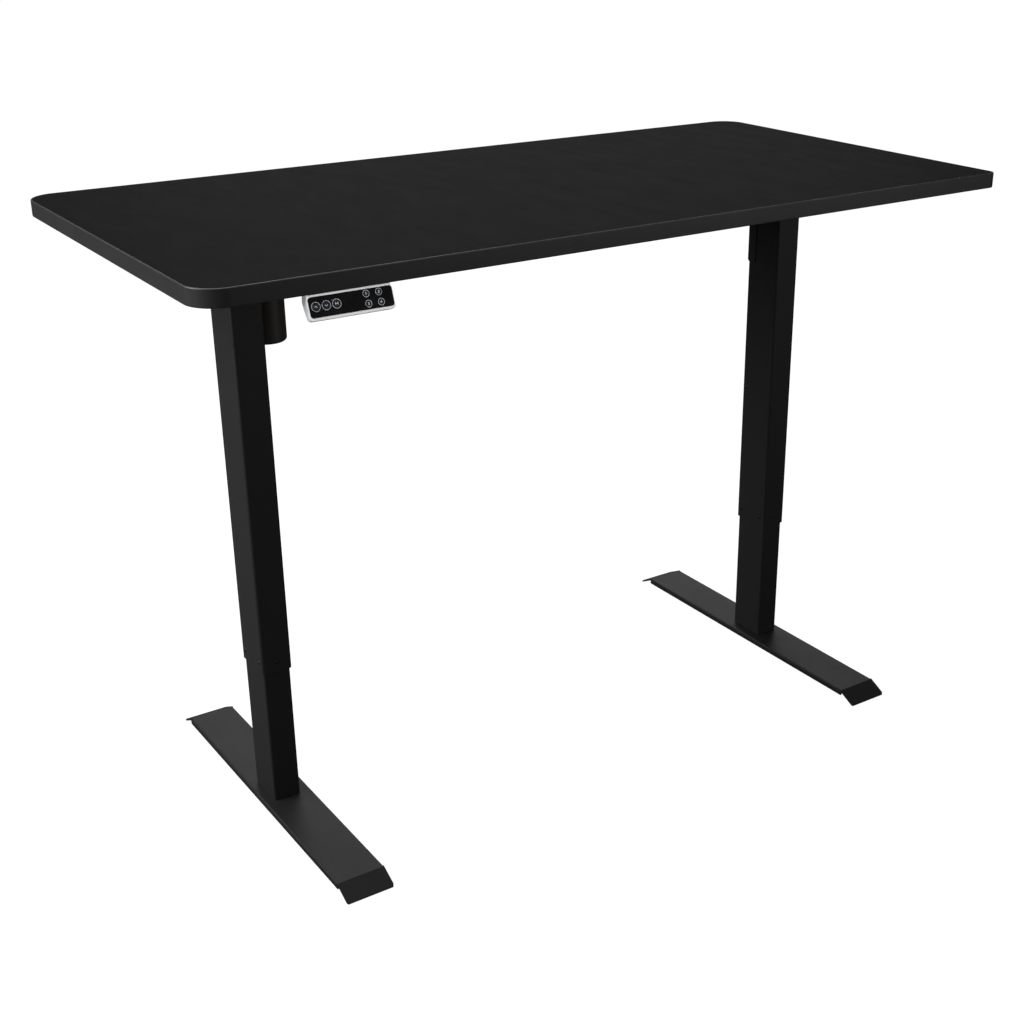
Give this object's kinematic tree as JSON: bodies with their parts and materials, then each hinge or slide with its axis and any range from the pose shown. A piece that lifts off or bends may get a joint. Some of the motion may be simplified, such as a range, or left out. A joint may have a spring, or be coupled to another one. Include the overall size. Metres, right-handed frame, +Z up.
{
  "type": "height adjustable standing desk",
  "caption": "Electric sit-stand desk: rectangular top with rounded corners on telescoping rectangular columns, each on a flat sheet-steel foot, with a keypad under the front edge.",
  "frame": {"origin": "on the floor, under the middle of the object's outline", "axes": "+Z up; +X to the right of a person sitting at the desk; +Y towards the back edge, away from the keypad"},
  "size_m": [1.4, 0.7102, 0.957],
  "materials": {
    "desktop_laminate": "satin black laminate on board",
    "edge_band": "satin",
    "black_powder_coat": "fine-textured semi-matt powder coat",
    "motor_paint": "satin paint",
    "cast_alloy": "as cast, painted black",
    "bronze": "machined",
    "bright_steel": "machined, oiled",
    "handset_shell": "fine satin",
    "handset_glass": "gloss",
    "handset_key": "satin",
    "lead_jacket": "matt",
    "pad_rubber": "matt",
    "bearing_plastic": "self-lubricating plastic",
    "black_plastic": "fine moulded texture"
  },
  "bodies": {
    "base": {"left_foot": "black_powder_coat", "left_column_plate": "black_powder_coat", "left_inner_tube": "black_powder_coat", "left_upper_glide": "bearing_plastic", "left_lift_nut": "bearing_plastic", "right_foot": "black_powder_coat", "right_column_plate": "black_powder_coat", "right_inner_tube": "black_powder_coat", "right_upper_glide": "bearing_plastic", "right_lift_nut": "bearing_plastic"},
    "top": {"desktop_board": "desktop_laminate", "desktop_edge_band": "edge_band", "left_side_bracket": "black_powder_coat", "left_outer_tube": "black_powder_coat", "left_lower_glide": "bearing_plastic", "left_gear_housing": "cast_alloy", "left_gear_cover": "cast_alloy", "left_screw_bearing": "bright_steel", "right_side_bracket": "black_powder_coat", "right_outer_tube": "black_powder_coat", "right_lower_glide": "bearing_plastic", "right_gear_housing": "cast_alloy", "right_gear_cover": "cast_alloy", "right_screw_bearing": "bright_steel", "front_rail": "black_powder_coat", "rear_rail": "black_powder_coat", "motor_can": "motor_paint", "motor_end_plate": "cast_alloy", "motor_gear_case": "cast_alloy", "motor_gear_cover": "cast_alloy", "right_column_guard": "black_plastic", "control_box_case": "black_plastic", "control_box_lid": "black_powder_coat", "mains_inlet": "black_plastic", "handset_body": "handset_shell", "handset_glass": "handset_glass", "handset_lead": "lead_jacket", "motor_lead": "lead_jacket", "front_lead_clip": "black_plastic", "rear_lead_clip": "black_plastic"},
    "shaft": {"drive_shaft": "bright_steel", "worm_wheel": "bronze", "left_shaft_bevel_gear": "bright_steel", "right_shaft_bevel_gear": "bright_steel"},
    "left_screw": {"left_lead_screw": "bright_steel", "left_screw_bevel_gear": "bright_steel"},
    "right_screw": {"right_lead_screw": "bright_steel", "right_screw_bevel_gear": "bright_steel"},
    "worm": {"motor_worm_shaft": "bright_steel"},
    "up_key": {"handset_up_key": "handset_key"},
    "down_key": {"handset_down_key": "handset_key"},
    "memory_key": {"handset_memory_key": "handset_key"},
    "preset_1_key": {"handset_preset_1_key": "handset_key"},
    "preset_2_key": {"handset_preset_2_key": "handset_key"},
    "preset_3_key": {"handset_preset_3_key": "handset_key"},
    "preset_4_key": {"handset_preset_4_key": "handset_key"},
    "left_front_pad": {"left_front_levelling_pad": "pad_rubber"},
    "left_back_pad": {"left_back_levelling_pad": "pad_rubber"},
    "right_front_pad": {"right_front_levelling_pad": "pad_rubber"},
    "right_back_pad": {"right_back_levelling_pad": "pad_rubber"}
  },
  "joints": [
    {"name": "lift", "type": "slide", "parent": "base", "child": "top", "axis": [0, 0, 1], "range_m": [-0.23, 0.23]},
    {"name": "shaft_turn", "type": "hinge", "parent": "top", "child": "shaft", "pos_m": [0, -0.00394, 0.9], "axis": [1, 0, 0], "continuous": true},
    {"name": "left_screw_turn", "type": "hinge", "parent": "top", "child": "left_screw", "pos_m": [-0.516, -0.00394, 0.7], "axis": [0, 0, 1], "continuous": true},
    {"name": "right_screw_turn", "type": "hinge", "parent": "top", "child": "right_screw", "pos_m": [0.516, -0.00394, 0.7], "axis": [0, 0, 1], "continuous": true},
    {"name": "worm_turn", "type": "hinge", "parent": "top", "child": "worm", "pos_m": [-0.46, 0.02506, 0.9], "axis": [0, 0, 1], "continuous": true},
    {"name": "up_key_press", "type": "slide", "parent": "top", "child": "up_key", "axis": [0, 0.9397, -0.342], "range_m": [0, 0.0006], "stiffness_N_per_m": 600},
    {"name": "down_key_press", "type": "slide", "parent": "top", "child": "down_key", "axis": [0, 0.9397, -0.342], "range_m": [0, 0.0006], "stiffness_N_per_m": 600},
    {"name": "memory_key_press", "type": "slide", "parent": "top", "child": "memory_key", "axis": [0, 0.9397, -0.342], "range_m": [0, 0.0006], "stiffness_N_per_m": 600},
    {"name": "preset_1_key_press", "type": "slide", "parent": "top", "child": "preset_1_key", "axis": [0, 0.9397, -0.342], "range_m": [0, 0.0006], "stiffness_N_per_m": 600},
    {"name": "preset_2_key_press", "type": "slide", "parent": "top", "child": "preset_2_key", "axis": [0, 0.9397, -0.342], "range_m": [0, 0.0006], "stiffness_N_per_m": 600},
    {"name": "preset_3_key_press", "type": "slide", "parent": "top", "child": "preset_3_key", "axis": [0, 0.9397, -0.342], "range_m": [0, 0.0006], "stiffness_N_per_m": 600},
    {"name": "preset_4_key_press", "type": "slide", "parent": "top", "child": "preset_4_key", "axis": [0, 0.9397, -0.342], "range_m": [0, 0.0006], "stiffness_N_per_m": 600},
    {"name": "left_front_pad_screw", "type": "slide", "parent": "base", "child": "left_front_pad", "axis": [0, 0, -1], "range_m": [0, 0.006]},
    {"name": "left_back_pad_screw", "type": "slide", "parent": "base", "child": "left_back_pad", "axis": [0, 0, -1], "range_m": [0, 0.006]},
    {"name": "right_front_pad_screw", "type": "slide", "parent": "base", "child": "right_front_pad", "axis": [0, 0, -1], "range_m": [0, 0.006]},
    {"name": "right_back_pad_screw", "type": "slide", "parent": "base", "child": "right_back_pad", "axis": [0, 0, -1], "range_m": [0, 0.006]}
  ],
  "couplings": [
    {"joint": "shaft_turn", "follows": "lift", "rad_per_m": 785.4},
    {"joint": "left_screw_turn", "follows": "lift", "rad_per_m": 785.4},
    {"joint": "right_screw_turn", "follows": "lift", "rad_per_m": -785.4},
    {"joint": "worm_turn", "follows": "lift", "rad_per_m": -7854}
  ]
}
